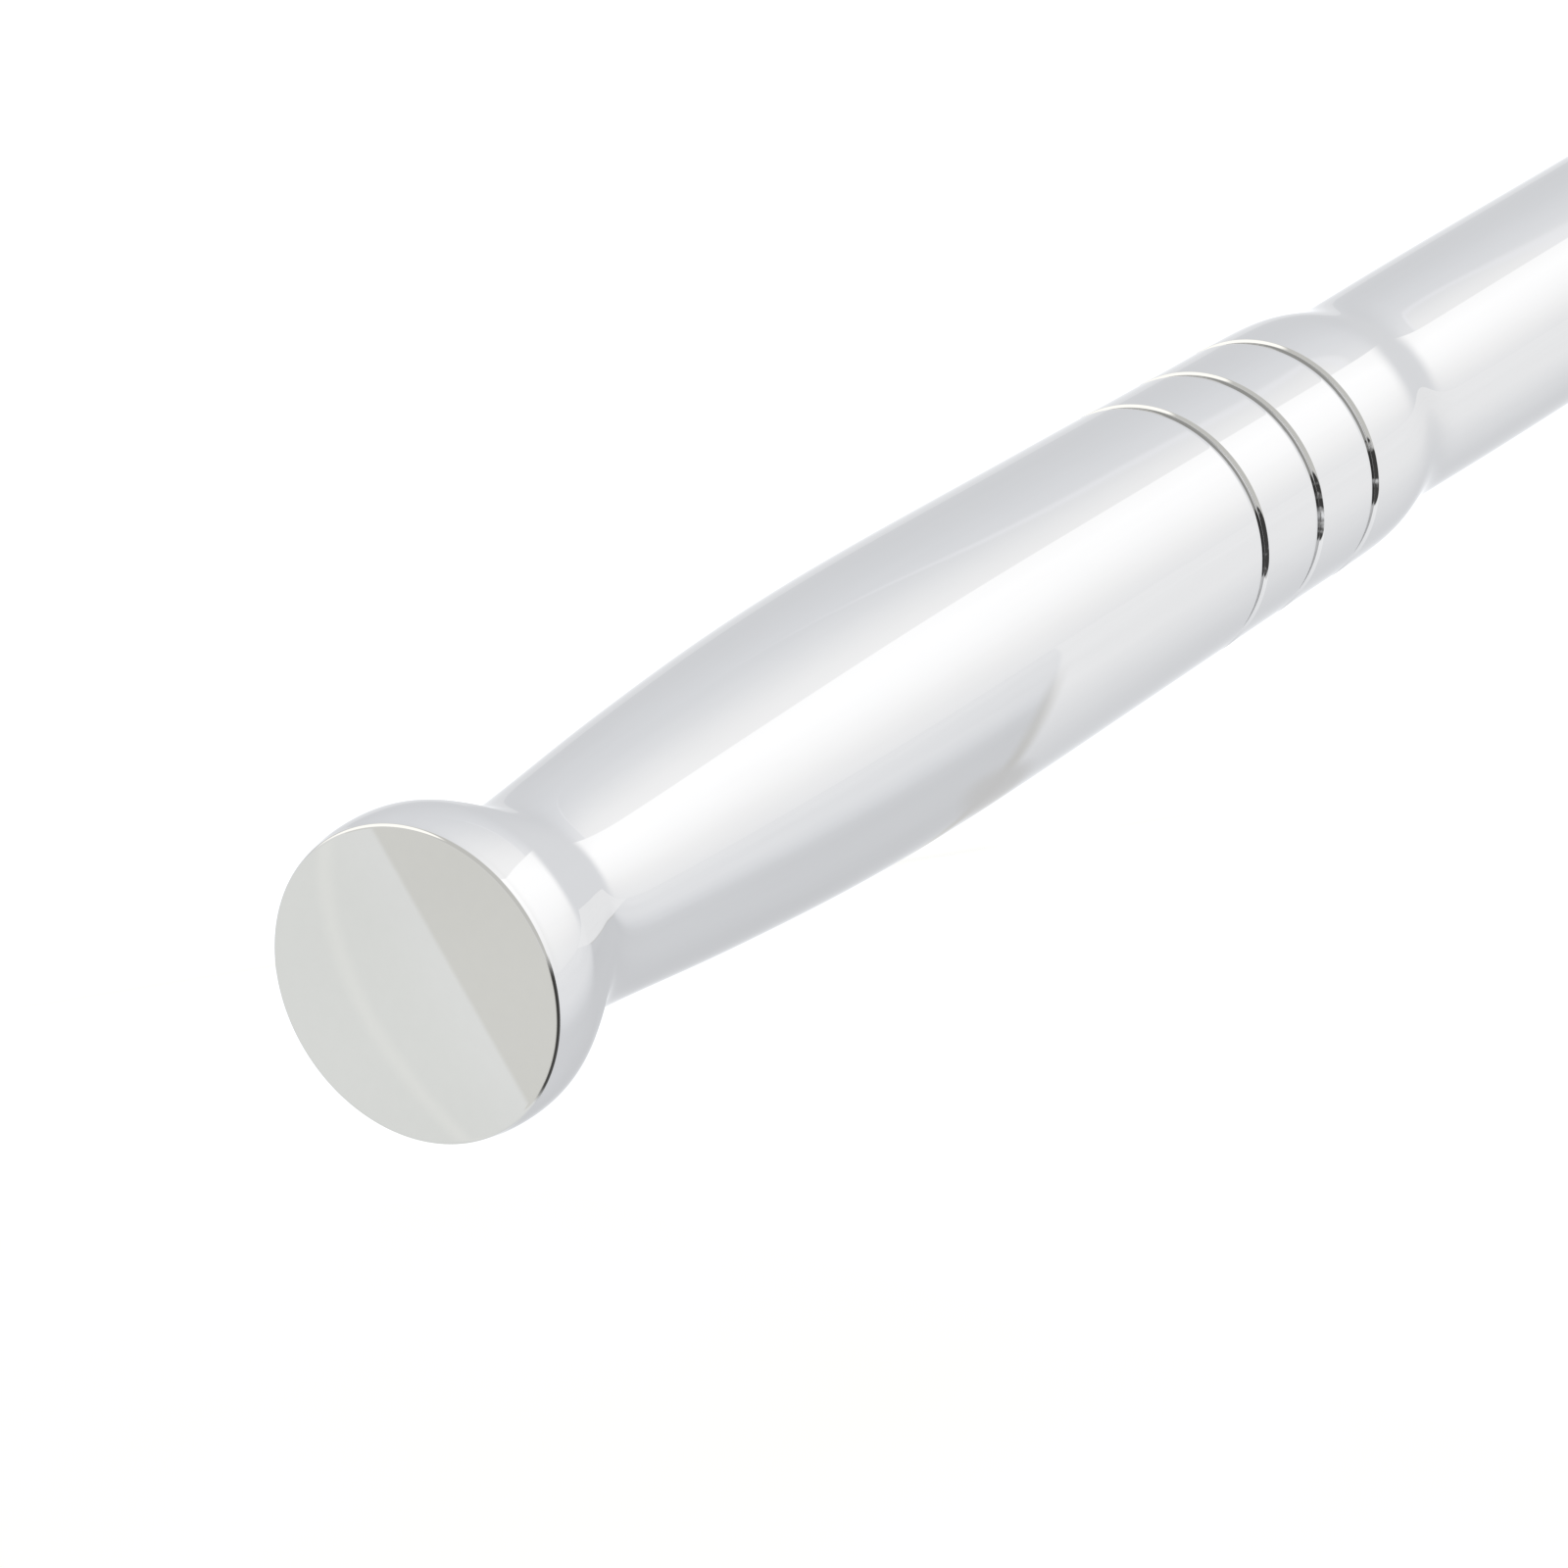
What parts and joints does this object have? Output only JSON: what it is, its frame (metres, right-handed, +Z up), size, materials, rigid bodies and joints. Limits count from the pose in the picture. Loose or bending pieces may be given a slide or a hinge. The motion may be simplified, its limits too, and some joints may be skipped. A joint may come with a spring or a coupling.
{
  "type": "flex-head ratchet wrench",
  "caption": "Polished steel ratchet wrench with a round grooved grip, a hinged teardrop head, a reversing lever and a square drive with a push-button socket release.",
  "frame": {"origin": "middle of the footprint, on the surface that the tool lies on", "axes": "+X along the handle from its flat end to the head; +Z up, along the drive square; the tool lies on the handle's flange and on the selector lever's flat face"},
  "size_m": [0.305, 0.0418, 0.0382],
  "materials": {
    "polished_chrome": "mirror-polished chrome plate",
    "satin_steel": "satin chrome plate",
    "hard_steel": "ground hardened steel",
    "spring_steel": "oiled spring steel",
    "seal_rubber": "black nitrile rubber"
  },
  "bodies": {
    "handle": {"handle": "polished_chrome", "flex_pivot_screw": "hard_steel", "flex_plunger": "hard_steel", "flex_spring": "spring_steel", "flex_washer_left": "spring_steel", "flex_washer_right": "spring_steel"},
    "head": {"head_body": "polished_chrome", "cover_plate": "polished_chrome", "cover_screw_1": "hard_steel", "cover_screw_2": "hard_steel", "cover_screw_3": "hard_steel", "cover_screw_4": "hard_steel", "thrust_washer": "spring_steel", "drive_seal": "seal_rubber", "pawl_pin": "hard_steel", "selector_seal": "seal_rubber"},
    "drive": {"drive_gear": "satin_steel", "button_ring": "spring_steel", "release_spring": "spring_steel"},
    "button": {"release_button": "polished_chrome", "release_pin": "hard_steel"},
    "ball": {"detent_ball": "hard_steel"},
    "selector": {"selector_lever": "polished_chrome", "selector_plunger": "hard_steel", "selector_spring": "spring_steel"},
    "pawl": {"pawl": "hard_steel"}
  },
  "joints": [
    {"name": "flex_hinge", "type": "hinge", "parent": "handle", "child": "head", "pos_m": [0.0855, 0, 0.01223], "axis": [0, -1, 0], "range_deg": [-90, 90]},
    {"name": "drive_spin", "type": "hinge", "parent": "head", "child": "drive", "pos_m": [0.1315, 0, 0.01223], "axis": [0, 0, 1], "continuous": true},
    {"name": "selector_turn", "type": "hinge", "parent": "head", "child": "selector", "pos_m": [0.109, 0, 0.01223], "axis": [0, 0, 1], "range_deg": [0, 50]},
    {"name": "pawl_rock", "type": "hinge", "parent": "head", "child": "pawl", "pos_m": [0.1162, 0, 0.01223], "axis": [0, 0, 1], "range_deg": [-10, 0]},
    {"name": "button_press", "type": "slide", "parent": "drive", "child": "button", "axis": [0, 0, 1], "range_m": [0, 0.0024], "stiffness_N_per_m": 500, "springref_m": -0.002, "deforming": ["release_spring"]},
    {"name": "ball_retract", "type": "slide", "parent": "drive", "child": "ball", "axis": [-1, 0, 0], "range_m": [0, 0.0008]}
  ],
  "couplings": [
    {"joint": "pawl_rock", "follows": "selector_turn", "ratio": -0.2},
    {"joint": "ball_retract", "follows": "button_press", "ratio": 0.3333}
  ]
}
